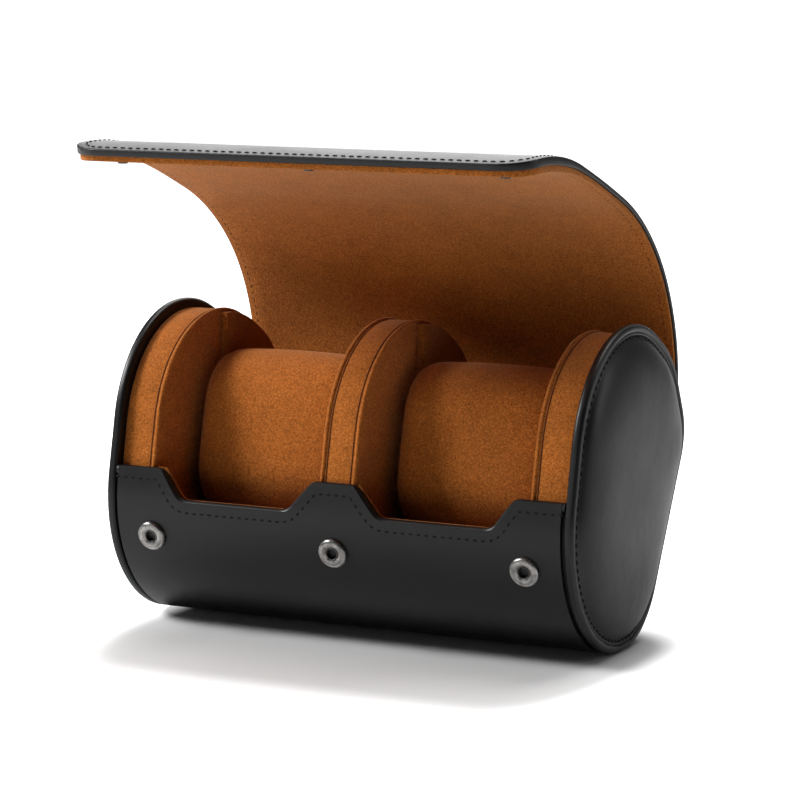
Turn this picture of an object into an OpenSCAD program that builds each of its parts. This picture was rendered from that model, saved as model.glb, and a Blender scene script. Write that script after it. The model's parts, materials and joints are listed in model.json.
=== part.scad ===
// Travel case for two watches: a leather roll whose hood uncurls off the back.
// Frame: +X along the length, +Y to the back, +Z up. The origin is the middle
// of the small flat that the round belly stands on.
// The hood is drawn open, which is its rest pose. Each of its stiff sections is
// shaped for the closed case, then turned out about the fold behind it.

/* [Case] */
// Length over the two end rims
case_len = 168; // [140:1:190]
// Thickness of each end rim
rim_t = 3.2; // [2.4:0.1:4]
// How far the end rims stand proud of the pads inside them
rim_proud = 5.5; // [5.3:0.1:6.5]
// Height of the front panel at its three raised parts
front_h = 55; // [50:0.5:58]
// Depth of the two scoops in the front edge
scoop_d = 10.2; // [6:0.2:14]
// Flat width that the belly rests on
flat_w = 8; // [6:0.5:14]

/* [Wall layers] */
// Outer leather
leather_t = 1.6; // [1:0.1:2]
// Stiff board between leather and lining
board_t = 1.9; // [1.2:0.1:2.4]
// Suede lining
lining_t = 1.2; // [0.8:0.1:1.5]

/* [Bays] */
// Thickness of the padded end walls
end_pad_t = 13; // [10:0.5:15]
// Thickness of the padded divider
divider_t = 13; // [9:0.5:16]
// Thickness of the half moon plates behind the middle of each bay
guide_t = 3; // [2:0.1:4]

/* [Cushions] */
// Depth of the watch cushion, front to back
cushion_d = 48; // [40:1:50]
// Height of the watch cushion
cushion_h = 60; // [50:1:62]
// How far the cushion leans back
cushion_lean = 14; // [0:1:18]
// How far a cushion lifts out
cushion_lift = 70; // [40:1:75]

/* [Hood] */
// Turn of the hood at the back fold, from closed to the open rest pose
hinge_open = 27.1; // [10:0.1:32]
// Degrees that the first of the hood's own folds uncurls
curl_open = 12.6; // [6:0.05:14]
// Turn of the front flap at its own fold
flap_open = 22.1; // [10:0.1:34]
// Hood length below the snaps
flap_tail = 14; // [10:0.5:16]

/* [Snaps] */
// Outer diameter of a snap socket
snap_od = 10; // [8:0.1:11]
// Bore of a snap socket
snap_bore = 4.4; // [4:0.1:5]
// Diameter of the stud's head
stud_d = 3.2; // [2.4:0.1:3.4]
// Height of the snaps above the bottom
snap_z = 32.1; // [30:0.1:34]
// Distance from the middle of an outer snap to the end rim
snap_edge = 13.5; // [12:0.5:24]

/* [Hidden] */

glue = 0.05;        // film between two layers that are stuck together
fold = 0.3;         // gap across a fold between two stiff sections
side_gap = 0.3;     // hood edge to end rim
step = 6;           // degrees between the points of a large arc
hl = case_len / 2;
rim_in = hl - rim_t;           // inner face of each end rim
hood_x = rim_in - side_gap;    // half width of the hood
snap_x = rim_in - snap_edge;
wall_t = leather_t + board_t + lining_t + 2 * glue;
hood_in = 0.2;                 // hood's outer face below the rims' outline
pad_in = rim_proud;            // pads' outline below the rims' outline
suede_t = 1.2;                 // suede wrapped round the pads
rim_w = 2.8;                   // radial width of an end rim
rim_back = 0.8;                // leather behind the domed pad

// The side outline is a belt round five circles: [y, z, radius]. The heel and
// the belly sink a little, so that both end on the flat that the case rests on.
heel_r = 30.5;
belly_r = 43.5;
function sunk(r) = sqrt(r * r - flat_w * flat_w / 4);
function foot_a(r) = asin(flat_w / 2 / r);
c_heel = [0, sunk(heel_r), heel_r];
c_back = [33.2, 64.7, 18];
c_rear = [14.1, 66.5, 34.5];
c_top = [4.4, 61.2, 44];
c_belly = [0, sunk(belly_r), belly_r];
hinge_a = -8;                  // outline's normal at the hood's back fold

function dir(a) = [cos(a), sin(a)];
function mid(c) = [c[0], c[1]];
// Normal of the belt's straight run from circle a to circle b
function run_n(a, b) = let (d = mid(b) - mid(a))
  atan2(d[1], d[0]) - acos((a[2] - b[2]) / norm(d));
function up360(a) = a < 0 ? a + 360 : a;

n_hb = run_n(c_heel, c_back);
n_br = run_n(c_back, c_rear);
n_rt = up360(run_n(c_rear, c_top));
n_tb = up360(run_n(c_top, c_belly));

// A station is [y, z, normal] on the outline's outer face, moved in by d.
function arc_n(s, a, b) = max(1, ceil(abs(b - a) / s));
function arc(c, a, b, d = 0, s = step) = let (m = arc_n(s, a, b))
  [for (k = [0:m]) let (t = a + (b - a) * k / m, p = mid(c) + (c[2] - d) * dir(t)) [p[0], p[1], t]];
function inward(st, d) = [for (q = st) [q[0] - d * cos(q[2]), q[1] - d * sin(q[2])]];
function back(v) = [for (k = [len(v) - 1:-1:0]) v[k]];
// Section of one layer of a wall, from depth a to depth b
function layer(st, a, b) = concat(inward(st, a), back(inward(st, b)));

// Belly and heel, mitred where they meet the flat
function under_st(s) = let (
  fb = foot_a(belly_r), fh = foot_a(heel_r),
  b = arc(c_belly, n_tb, 270 - fb, 0, s), h = arc(c_heel, fh - 90, n_hb, 0, s))
  concat([for (k = [0:len(b) - 2]) b[k]], [[-flat_w / 2, 0, 270 - fb / 2], [flat_w / 2, 0, fh / 2 - 90]],
         [for (k = [1:len(h) - 1]) h[k]]);
function ring_st(s) = concat(
  arc(c_back, n_hb, n_br, 0, s), arc(c_rear, n_br, n_rt, 0, s), arc(c_top, n_rt, n_tb, 0, s),
  under_st(s));
ring = ring_st(step);
shell_st = concat(under_st(step), arc(c_back, n_hb, hinge_a - fold));
front_run = [let (p = mid(c_top) + c_top[2] * dir(n_tb)) [p[0], p[1], n_tb]];

// Closed hood: its inner face follows the pads, runs straight to the flap's
// fold, and the flap hangs over the snaps as one shallow arc.
snap_n = 180 + asin((c_belly[1] - snap_z) / c_belly[2]);
snap_p = mid(c_belly) + c_belly[2] * dir(snap_n);
socket_h = 2.0;
socket_sink = 0.3;
stud_base_t = 0.5;
stand_off = socket_h - socket_sink + stud_base_t + 0.1;
flap_bow = 18;                 // degrees of arc from the fold to the snaps
flap_n1 = 189;                 // flap's normal at the snaps
flap_n0 = flap_n1 - flap_bow;  // and at its fold
flap_run = 27;                 // from the fold to the snaps
flap_r = flap_run / (flap_bow * PI / 180);
stud_p = snap_p + stand_off * dir(snap_n);
flap_c = stud_p - flap_r * dir(flap_n1);
flap_n2 = flap_n1 + flap_tail / flap_r * 180 / PI;
fold_p = flap_c + flap_r * dir(flap_n0);
hood_r = c_top[2] - hood_in - wall_t;
fold_v = fold_p - mid(c_top);
hood_n = atan2(fold_v[1], fold_v[0]) + 360 - acos(hood_r / norm(fold_v));
cut_a = 55;                    // folds between the hood's sections
cut_b = 92;
cut_c = 138;

function gap_a(r) = fold / 2 / r * 180 / PI;
function lift(p, n, d) = [p[0] + d * cos(n), p[1] + d * sin(n)];
g_rear = gap_a(c_rear[2]);
g_top = gap_a(c_top[2]);
st_rear = concat(arc(c_back, hinge_a + gap_a(c_back[2]), n_br, hood_in, 5),
                 arc(c_rear, n_br, cut_a - g_rear, hood_in, 5));
st_back = concat(arc(c_rear, cut_a + g_rear, n_rt, hood_in, 5),
                 arc(c_top, n_rt, cut_b - g_top, hood_in, 5));
st_top = arc(c_top, cut_b + g_top, cut_c - g_top, hood_in, 5);
fold_back = 0.15;              // each side stops short of the flap's fold
end_o = lift(fold_p - fold_back * [-sin(hood_n), cos(hood_n)], hood_n, wall_t);
st_front = concat(arc(c_top, cut_c + g_top, hood_n, hood_in, 5), [[end_o[0], end_o[1], hood_n]]);
flap_a0 = flap_n0 + fold_back / flap_r * 180 / PI;
flap_circle = [flap_c[0], flap_c[1], flap_r + wall_t];
st_flap = arc(flap_circle, flap_a0, flap_n2, 0, 3);

// Fold lines in the closed case, and the turn at each
curl = [1, 1.51, 1.4];         // shares of the hood's folds in its curl
piv = [
  mid(c_back) + (c_back[2] - hood_in) * dir(hinge_a),
  mid(c_rear) + (c_rear[2] - hood_in) * dir(cut_a),
  mid(c_top) + (c_top[2] - hood_in) * dir(cut_b),
  mid(c_top) + (c_top[2] - hood_in) * dir(cut_c),
  fold_p + wall_t / 2 * dir((flap_n0 + hood_n) / 2)
];
turn = [hinge_open, curl[0] * curl_open, curl[1] * curl_open, curl[2] * curl_open, flap_open];

bay_in = rim_in - end_pad_t;   // inner face of each end wall
div_x = divider_t / 2;
bay_mid = (bay_in + div_x) / 2;
cushion_gap = 0.5;
cushion_w = bay_in - div_x - 2 * guide_t - 2 * cushion_gap;
cushion_c = [4.4, 60];
guide_y = 5;                   // front edge of the half moon plates
cushion_r = 20;
saddle_gap = 0.35;
cradle_h = 36;

// ---- helpers ----
module along_x(a, b) translate([a, 0, 0]) rotate([90, 0, 90]) linear_extrude(b - a) children();
module along_y(a, b) translate([0, b, 0]) rotate([90, 0, 0]) linear_extrude(b - a) children();
module turn_at(p, a) translate([0, p[0], p[1]]) rotate([-a, 0, 0])
  translate([0, -p[0], -p[1]]) children();
module hood_rear_at() turn_at(piv[0], turn[0]) children();
module hood_back_at() hood_rear_at() turn_at(piv[1], turn[1]) children();
module hood_top_at() hood_back_at() turn_at(piv[2], turn[2]) children();
module hood_front_at() hood_top_at() turn_at(piv[3], turn[3]) children();
module flap_at() hood_front_at() turn_at(piv[4], turn[4]) children();
module mirrored(side) if (side < 0) mirror([1, 0, 0]) children(); else children();
module sheet(st, a, b, x) along_x(-x, x) polygon(layer(st, a, b));
module plate(d, a, b) along_x(a, b) polygon(inward(ring, d));

d1 = leather_t;
d2 = leather_t + glue;
d3 = d2 + board_t;
d4 = d3 + glue;
d5 = d4 + lining_t;

// Points its z axis along the normal n at point p of the side section
module at_snap(p, n) for (x = [-snap_x, 0, snap_x])
  translate([x, p[0], p[1]]) rotate([n - 90, 0, 0]) children();

// ---- front, belly and back shell ----
module scoops() for (s = [-1, 1]) mirrored(s) along_y(-belly_r - 10, -belly_r / 2) polygon([
  [7, front_h + 1], [7 + (scoop_d + 1) * 0.866, front_h - scoop_d],
  [bay_in - 11.9, front_h - scoop_d], [bay_in - 3.9, front_h + 1]]);
module shell_layer(a, b) difference() {
  along_x(-rim_in + 0.02, rim_in - 0.02) polygon(layer(concat(front_run, shell_st), a, b));
  translate([-hl, -belly_r - 10, front_h]) cube([2 * hl, belly_r, 2 * belly_r]);
  scoops();
}
module shell_leather() color([0.05, 0.05, 0.055]) difference() {
  shell_layer(0, d1);
  at_snap(snap_p, snap_n) translate([0, 0, -socket_sink]) cylinder(h = 4, r = snap_od / 2 + 0.1, $fn = 48);
  at_snap(snap_p, snap_n) translate([0, 0, -4]) cylinder(h = 8, r = 1.55, $fn = 32);
}
module shell_board() color([0.5, 0.44, 0.36]) difference() {
  shell_layer(d2, d3);
  at_snap(snap_p, snap_n) translate([0, 0, -5]) cylinder(h = 8, r = 3.8, $fn = 48);
}
module shell_lining() color([0.55, 0.29, 0.1]) shell_layer(d4, d5);

// ---- ends ----
module rim(side) mirrored(side) color([0.04, 0.04, 0.045]) difference() {
  plate(0, rim_in, hl);
  plate(rim_w, rim_in + rim_back, hl + 1);
}
module left_rim() rim(-1);
module right_rim() rim(1);
cap_board_t = 1.2;
module cap_board(side) mirrored(side) color([0.5, 0.44, 0.36])
  plate(rim_w + glue, cap_x - glue - cap_board_t, cap_x - glue);
module left_cap_board() cap_board(-1);
module right_cap_board() cap_board(1);

// Domed pad: rings of the outline drawn in to the middle as it rises
dome_ring = ring_st(13);
dome_f = [1, 0.93, 0.82, 0.66, 0.45, 0.22];
dome_c = [5, 53];
cap_x = rim_in + rim_back + glue + cap_board_t + glue;
function dome_pts(d, x0, rise, e) = let (o = inward(dome_ring, d), m = len(o)) concat(
  [for (q = o) [x0, q[0], q[1]]],
  [for (f = dome_f) for (q = o) let (p = dome_c + f * (q - dome_c))
    [x0 + e + (rise - e) * (1 - pow(f, 3.2)), p[0], p[1]]],
  [[x0 + rise, dome_c[0], dome_c[1]], [x0, dome_c[0], dome_c[1]]]);
function band_tri(m, k) = [for (i = [0:m - 1]) each let (j = (i + 1) % m)
  [[k * m + i, (k + 1) * m + j, k * m + j], [k * m + i, (k + 1) * m + i, (k + 1) * m + j]]];
module dome(d, x0, rise, e = 1.1) {
  m = len(dome_ring);
  r = len(dome_f);
  polyhedron(dome_pts(d, x0, rise, e), concat(
    [for (k = [0:r - 1]) each band_tri(m, k)],
    [for (i = [0:m - 1]) [r * m + i, (r + 1) * m, r * m + (i + 1) % m]],
    [for (i = [0:m - 1]) [i, (i + 1) % m, (r + 1) * m + 1]]), convexity = 4);
}
cap_rise = 6;
cap_skin = 1.2;
module cap_foam(side) mirrored(side) color([0.75, 0.72, 0.65])
  dome(rim_w + 0.25 + cap_skin, cap_x, cap_rise - cap_skin - 0.1, 0.9);
module left_cap_foam() cap_foam(-1);
module right_cap_foam() cap_foam(1);
module cap_leather(side) mirrored(side) color([0.05, 0.05, 0.055]) difference() {
  dome(rim_w + 0.1, cap_x, cap_rise);
  dome(rim_w + 0.1 + cap_skin, cap_x - 0.05, cap_rise - cap_skin + 0.1);
}
module left_cap_leather() cap_leather(-1);
module right_cap_leather() cap_leather(1);

module end_pad(side) mirrored(side) color([0.75, 0.72, 0.65])
  plate(pad_in + suede_t + glue, bay_in + suede_t + glue, rim_in - glue);
module left_end_pad() end_pad(-1);
module right_end_pad() end_pad(1);
module end_band(side) mirrored(side) color([0.58, 0.31, 0.11]) difference() {
  plate(pad_in, bay_in, rim_in - glue);
  plate(pad_in + suede_t, bay_in - 1, rim_in + 1);
}
module left_end_band() end_band(-1);
module right_end_band() end_band(1);
module end_face(side) mirrored(side) color([0.52, 0.27, 0.09])
  plate(pad_in + suede_t + glue, bay_in, bay_in + suede_t);
module left_end_face() end_face(-1);
module right_end_face() end_face(1);
// Half moon plate on the back half of a bay's side wall
module guide(a, b) color([0.45, 0.23, 0.08]) difference() {
  plate(pad_in + 2.2, a, b);
  translate([a - 1, guide_y - 65, -1]) cube([b - a + 2, 65, 120]);
}
module left_guide() mirrored(-1) guide(bay_in - guide_t, bay_in - glue);
module right_guide() guide(bay_in - guide_t, bay_in - glue);

// ---- divider ----
module divider_core() color([0.75, 0.72, 0.65])
  plate(pad_in + suede_t + glue, -div_x + suede_t + glue, div_x - suede_t - glue);
module divider_band() color([0.58, 0.31, 0.11]) difference() {
  plate(pad_in, -div_x, div_x);
  plate(pad_in + suede_t, -div_x - 1, div_x + 1);
}
module divider_face(side) mirrored(side) color([0.52, 0.27, 0.09])
  plate(pad_in + suede_t + glue, div_x - suede_t, div_x);
module divider_left_face() divider_face(-1);
module divider_right_face() divider_face(1);
module divider_left_guide() mirrored(-1) guide(div_x + glue, div_x + guide_t);
module divider_right_guide() guide(div_x + glue, div_x + guide_t);

// ---- cushions and the saddles under them ----
// Rounded section of a cushion, grown by g, leaning back
function corner(sx, sz, a, g) = [for (k = [0:6]) let (t = a + 15 * k)
  [sx * (cushion_d / 2 - cushion_r) + (cushion_r + g) * cos(t),
   sz * (cushion_h / 2 - cushion_r) + (cushion_r + g) * sin(t)]];
function lean(p) = [p[0] * cos(cushion_lean) + p[1] * sin(cushion_lean),
                    -p[0] * sin(cushion_lean) + p[1] * cos(cushion_lean)];
function cushion_sec(g, f = 1) = [for (p = concat(corner(1, 1, 0, g), corner(-1, 1, 90, g),
  corner(-1, -1, 180, g), corner(1, -1, 270, g))) cushion_c + lean(f * p)];
module cradle(side) mirrored(side) color([0.5, 0.26, 0.09]) difference() {
  plate(d5 + 0.1, div_x + guide_t + 0.2, bay_in - guide_t - 0.2);
  translate([0, -70, cradle_h]) cube([hl, 140, 100]);
  along_x(0, hl) polygon(cushion_sec(saddle_gap));
}
module left_cradle() cradle(-1);
module right_cradle() cradle(1);

// Crowned roll: fattest in the middle, its sides drawn in, its ends rounded over
cw = cushion_w / 2;
cushion_rings = [[-1, 0.55], [-1, 0.8], [-0.97, 0.9], [-0.9, 0.955], [-0.75, 0.975], [-0.4, 0.993],
  [0, 1], [0.4, 0.993], [0.75, 0.975], [0.9, 0.955], [0.97, 0.9], [1, 0.8], [1, 0.55]];
function puff(k) = k == 0 ? -1 : k == len(cushion_rings) - 1 ? 1 : 0;
module cushion_form() {
  m = len(cushion_sec(0));
  r = len(cushion_rings);
  pts = concat(
    [for (k = [0:r - 1]) let (q = cushion_rings[k]) for (p = cushion_sec(0, q[1]))
      [q[0] * (cw - 0.6) + 0.6 * puff(k), p[0], p[1]]],
    [[-cw, cushion_c[0], cushion_c[1]], [cw, cushion_c[0], cushion_c[1]]]);
  polyhedron(pts, concat(
    [for (k = [0:r - 2]) each band_tri(m, k)],
    [for (i = [0:m - 1]) [i, (i + 1) % m, r * m]],
    [for (i = [0:m - 1]) [(r - 1) * m + (i + 1) % m, (r - 1) * m + i, r * m + 1]]), convexity = 4);
}
core_f = 0.84;
core_w = cushion_w - 10;
module cushion_core_form(e) along_x(-core_w / 2 - e, core_w / 2 + e)
  polygon(cushion_sec(e, core_f));
module cushion_cover(side) translate([side * bay_mid, 0, 0]) color([0.6, 0.33, 0.12]) difference() {
  cushion_form();
  cushion_core_form(glue);
}
module cushion_core(side) translate([side * bay_mid, 0, 0]) color([0.8, 0.78, 0.7])
  cushion_core_form(0);
module left_cushion_cover() cushion_cover(-1);
module left_cushion_core() cushion_core(-1);
module right_cushion_cover() cushion_cover(1);
module right_cushion_core() cushion_core(1);

// ---- snaps ----
module snap_sockets() color([0.3, 0.3, 0.31]) at_snap(snap_p, snap_n) translate([0, 0, -socket_sink])
  rotate_extrude($fn = 48) polygon([
    [snap_bore / 2, 0], [snap_od / 2, 0], [snap_od / 2, socket_h - 1.1], [snap_od / 2 - 0.6, socket_h - 0.3],
    [snap_od / 2 - 1.1, socket_h], [snap_bore / 2 + 0.7, socket_h], [snap_bore / 2, socket_h - 0.5]]);
module snap_springs() color([0.6, 0.6, 0.6]) at_snap(snap_p, snap_n) translate([0, 0, -socket_sink])
  difference() {
    cylinder(h = 0.35, r = snap_bore / 2 - 0.02, $fn = 32);
    translate([0, 0, -1]) cylinder(h = 3, r = snap_bore / 2 - 0.45, $fn = 32);
  }
module snap_posts() color([0.3, 0.3, 0.31]) at_snap(snap_p, snap_n) {
  translate([0, 0, -d3 + 0.4]) cylinder(h = d3 - 0.4 - socket_sink - glue, r = 1.45, $fn = 32);
  translate([0, 0, -d3 + 0.4]) cylinder(h = 0.6, r = 3.6, $fn = 48);
}

// ---- hood, drawn closed and then turned open ----
module hood_layer(st, a, b) sheet(st, a, b, hood_x);
module hood_rear_leather() hood_rear_at() color([0.05, 0.05, 0.055]) hood_layer(st_rear, 0, d1);
module hood_rear_board() hood_rear_at() color([0.5, 0.44, 0.36]) hood_layer(st_rear, d2, d3);
module hood_rear_lining() hood_rear_at() color([0.55, 0.29, 0.1]) hood_layer(st_rear, d4, d5);
module hood_back_leather() hood_back_at() color([0.06, 0.06, 0.065]) hood_layer(st_back, 0, d1);
module hood_back_board() hood_back_at() color([0.5, 0.44, 0.36]) hood_layer(st_back, d2, d3);
module hood_back_lining() hood_back_at() color([0.58, 0.31, 0.11]) hood_layer(st_back, d4, d5);
module hood_top_leather() hood_top_at() color([0.05, 0.05, 0.055]) hood_layer(st_top, 0, d1);
module hood_top_board() hood_top_at() color([0.5, 0.44, 0.36]) hood_layer(st_top, d2, d3);
module hood_top_lining() hood_top_at() color([0.55, 0.29, 0.1]) hood_layer(st_top, d4, d5);
module hood_front_leather() hood_front_at() color([0.06, 0.06, 0.065]) hood_layer(st_front, 0, d1);
module hood_front_board() hood_front_at() color([0.5, 0.44, 0.36]) hood_layer(st_front, d2, d3);
module hood_front_lining() hood_front_at() color([0.58, 0.31, 0.11]) hood_layer(st_front, d4, d5);

// The flap's two front corners are cut off aslant
flap_end = flap_c + flap_r * dir(flap_n2);
corner_c = 8;
module flap_layer(a, b) difference() {
  hood_layer(st_flap, a, b);
  for (s = [-1, 1]) mirrored(s) along_y(flap_end[0] - 25, flap_end[0] + 18) polygon([
    [hood_x + 1, flap_end[1] + corner_c], [hood_x, flap_end[1] + corner_c],
    [hood_x - corner_c, flap_end[1]], [hood_x - corner_c, flap_end[1] - 8],
    [hood_x + 1, flap_end[1] - 8]]);
}
module flap_leather() flap_at() color([0.05, 0.05, 0.055]) flap_layer(0, d1);
module flap_board() flap_at() color([0.5, 0.44, 0.36]) difference() {
  flap_layer(d2, d3);
  at_snap(stud_p, flap_n1) cylinder(h = 9, r = 3.8, $fn = 48);
}
module flap_lining() flap_at() color([0.55, 0.29, 0.1]) difference() {
  flap_layer(d4, d5);
  at_snap(stud_p, flap_n1) translate([0, 0, -2]) cylinder(h = 6, r = 1.15, $fn = 32);
}
stud_h = 1.5;
module flap_studs() flap_at() color([0.3, 0.3, 0.31]) at_snap(stud_p, flap_n1) {
  translate([0, 0, -stud_base_t]) cylinder(h = stud_base_t - 0.07, r = 2.6, $fn = 40);
  translate([0, 0, -stud_base_t - stud_h]) cylinder(h = stud_h, r = stud_d / 2 - 0.25, $fn = 32);
  translate([0, 0, -stud_base_t - stud_h]) cylinder(h = 0.7, r = stud_d / 2, $fn = 32);
}
module flap_rivets() flap_at() color([0.3, 0.3, 0.31]) at_snap(stud_p, flap_n1) {
  translate([0, 0, 0]) cylinder(h = lining_t + 0.9, r = 1.0, $fn = 32);
  translate([0, 0, lining_t + 0.4]) cylinder(h = 0.6, r = 3.5, $fn = 48);
}

shell_leather();
shell_board();
shell_lining();
left_rim();
right_rim();
left_cap_board();
right_cap_board();
left_cap_foam();
right_cap_foam();
left_cap_leather();
right_cap_leather();
left_end_pad();
right_end_pad();
left_end_band();
right_end_band();
left_end_face();
right_end_face();
left_guide();
right_guide();
divider_core();
divider_band();
divider_left_face();
divider_right_face();
divider_left_guide();
divider_right_guide();
left_cradle();
right_cradle();
snap_sockets();
snap_springs();
snap_posts();
hood_rear_leather();
hood_rear_board();
hood_rear_lining();
hood_back_leather();
hood_back_board();
hood_back_lining();
hood_top_leather();
hood_top_board();
hood_top_lining();
hood_front_leather();
hood_front_board();
hood_front_lining();
flap_leather();
flap_board();
flap_lining();
flap_studs();
flap_rivets();
left_cushion_cover();
left_cushion_core();
right_cushion_cover();
right_cushion_core();
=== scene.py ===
"""Watch travel case: the looks of the open leather roll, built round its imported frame."""

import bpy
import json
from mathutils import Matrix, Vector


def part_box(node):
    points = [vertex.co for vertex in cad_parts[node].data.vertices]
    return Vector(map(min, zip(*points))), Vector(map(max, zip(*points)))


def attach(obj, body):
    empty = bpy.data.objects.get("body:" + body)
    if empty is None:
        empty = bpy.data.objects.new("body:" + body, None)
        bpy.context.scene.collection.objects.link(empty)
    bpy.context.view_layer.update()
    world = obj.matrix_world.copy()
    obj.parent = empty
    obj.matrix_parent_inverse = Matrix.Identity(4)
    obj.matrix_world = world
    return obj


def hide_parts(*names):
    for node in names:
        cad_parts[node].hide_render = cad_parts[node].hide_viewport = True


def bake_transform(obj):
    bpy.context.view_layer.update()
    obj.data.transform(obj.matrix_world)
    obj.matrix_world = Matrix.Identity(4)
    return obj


bl_info = {
    "name": "Watch travel case",
    "version": (1, 0, 0),
    "blender": (4, 5, 0),
    "location": "View3D > Sidebar > Travel case",
    "description": "Builds the leather, suede and snaps of a two-watch travel roll round its frame",
    "category": "Object",
}

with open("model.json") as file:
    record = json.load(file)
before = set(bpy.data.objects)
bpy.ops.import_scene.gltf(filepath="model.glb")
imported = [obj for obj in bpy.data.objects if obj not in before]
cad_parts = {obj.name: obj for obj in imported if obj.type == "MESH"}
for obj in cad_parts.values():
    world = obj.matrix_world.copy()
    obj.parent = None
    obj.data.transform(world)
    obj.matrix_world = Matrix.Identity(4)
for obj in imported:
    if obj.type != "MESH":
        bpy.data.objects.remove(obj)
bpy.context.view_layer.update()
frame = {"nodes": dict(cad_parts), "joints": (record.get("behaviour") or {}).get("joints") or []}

import json
import math

import bmesh
import bpy
from bpy.props import FloatProperty, FloatVectorProperty, PointerProperty
from mathutils import Matrix, Vector

# ---------------------------------------------------------------- sizes, in metres

HALF_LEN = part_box("right_rim")[1][0]
RIM_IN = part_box("right_rim")[0][0]
PAD_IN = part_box("right_end_band")[0][0]
DIVIDER_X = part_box("divider_band")[1][0]
HOOD_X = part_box("hood_top_leather")[1][0]

# The side outline is a belt round five circles: y, z and radius, and the
# normal at which each arc starts and ends.
FLAT_W = 0.008


def standing(radius):
    """A circle over the middle of the flat, low enough to meet the flat's edge."""
    return 0.0, math.sqrt(radius * radius - FLAT_W * FLAT_W / 4), radius


def foot(circle):
    """Degrees from straight down to the edge of the flat."""
    return math.degrees(math.asin(FLAT_W / 2 / circle[2]))


def run_normal(a, b):
    """Normal of the belt's straight run from circle a to circle b, in degrees."""
    dy, dz = b[0] - a[0], b[1] - a[1]
    return math.degrees(math.atan2(dz, dy) - math.acos((a[2] - b[2]) / math.hypot(dy, dz)))


def on_circle(circle, normal, inset=0.0):
    """The place on a circle where its outward normal has this angle from +Y."""
    a = math.radians(normal)
    r = circle[2] - inset
    return circle[0] + r * math.cos(a), circle[1] + r * math.sin(a)


HEEL = standing(0.0305)
BACK = (0.0332, 0.0647, 0.018)
REAR = (0.0141, 0.0665, 0.0345)
TOP = (0.0044, 0.0612, 0.044)
BELLY = standing(0.0435)

N_HEEL_BACK = run_normal(HEEL, BACK)
N_BACK_REAR = run_normal(BACK, REAR)
N_REAR_TOP = run_normal(REAR, TOP) % 360
N_TOP_BELLY = run_normal(TOP, BELLY) % 360
BELLY_END = 270 - foot(BELLY)
HEEL_START = foot(HEEL) - 90
BELT = (
    (BACK, N_HEEL_BACK, N_BACK_REAR),
    (REAR, N_BACK_REAR, N_REAR_TOP),
    (TOP, N_REAR_TOP, N_TOP_BELLY),
    (BELLY, N_TOP_BELLY, BELLY_END),
    (HEEL, HEEL_START, N_HEEL_BACK),
)


def fold_axis(joint):
    """Where the axis of a fold stands in the side view: y, z."""
    return next(tuple(row["pos_m"][1:]) for row in frame["joints"] if row["name"] == joint)


# The hood's outer face at rest leaves the back's arc at HOOD_FROM and runs in
# arcs from fold to fold, and on to its front edge. Headings are from +Y.
HOOD_FROM = -19.0
HOOD_START = on_circle(BACK, HOOD_FROM)
HOOD_HEADING = 90 + HOOD_FROM
FLAP_FOLD = (-0.0291275, 0.1583085)
FRONT_EDGE = (-0.0724414, 0.161332)
HOOD_FOLDS = (
    fold_axis("hood_bend_back"),
    fold_axis("hood_bend_top"),
    fold_axis("hood_bend_front"),
    FLAP_FOLD,
    FRONT_EDGE,
)
HOOD_HINGE = 0.0035
CORNER = 0.012
SECTIONS = ("hood_rear", "hood_back", "hood_top", "hood_front", "flap")

# Rims and padded ends; PANEL_OUT is from the rims' inner face out to the panel's edge
RIM_W = 0.0028
RIM_BACK = 0.0008
RIM_ROLL = 0.0012
PANEL_OUT = 0.0021
PIPING_R = 0.0006

# End walls and divider, which lie PAD_INSET inside the rims' outline
PAD_INSET = 0.0033
PAD_LIP_R = 0.0008
PAD_ROW = 0.0017
PAD_PITCH = 0.0030
# Radius of the dark cord that is painted shade in each pad seam's groove
PAINTED_SHADE_LINE_R = 0.00028
CORD_STEP = 0.0022

# The wall and its front edge; depths are from its outer face
FRONT_H = 0.055
SCOOP_H = 0.0448
SCOOP = ((0.0079, FRONT_H), (0.0167, SCOOP_H), (0.0559, SCOOP_H), (0.0632, FRONT_H))
CORE_DEPTH = 0.0016
CORE_T = 0.0022
LINING_DEPTH = 0.00365
ROLL_R = 0.0018
LINING_EDGE_R = 0.0007
EDGE_STEP = 0.0009

# The hood's sheets before they are thinned, and the shares of it that are left over
# the pads and at the flap, less the share that its front edge loses
HOOD_LEATHER_T = 0.0027
HOOD_LINING_T = 0.0021
HOOD_LINING_DEPTH = 0.0028
HOOD_LINING_IN = 0.0006
OVER_PADS = 0.60
AT_FLAP = 1.0
EDGE_THINNING = 0.20

# Thickness of each thread
END_THREAD = 0.00075
PAD_THREAD = 0.0005
FRONT_THREAD = 0.0009
HOOD_THREAD = 0.00055

SNAP_X = (-0.0673, 0.0, 0.0673)
SNAP_Z = 0.0321
SNAP_N = 180 + math.degrees(math.asin((BELLY[1] - SNAP_Z) / BELLY[2]))
SNAP_Y = on_circle(BELLY, SNAP_N)[0]

CUSHION_MID = (0.0044, 0.060)
CUSHION_LEAN = 14.0
CUSHION_DEPTH = 0.0468
CUSHION_HEIGHT = 0.0588
CUSHION_ROUND = 0.0195
BAY_MID = 0.03715
WELT_R = 0.00055

# The photograph's camera, with its focal length in pixels of the picture
CAMERA_AT = Vector((0.46705, -0.93579, 0.23342))
CAMERA_TO = Vector((0.0095, -0.01295, 0.0784))
FOCAL_PX = 3201.0
PHOTO_PX = 800
SENSOR_MM = 36


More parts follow.
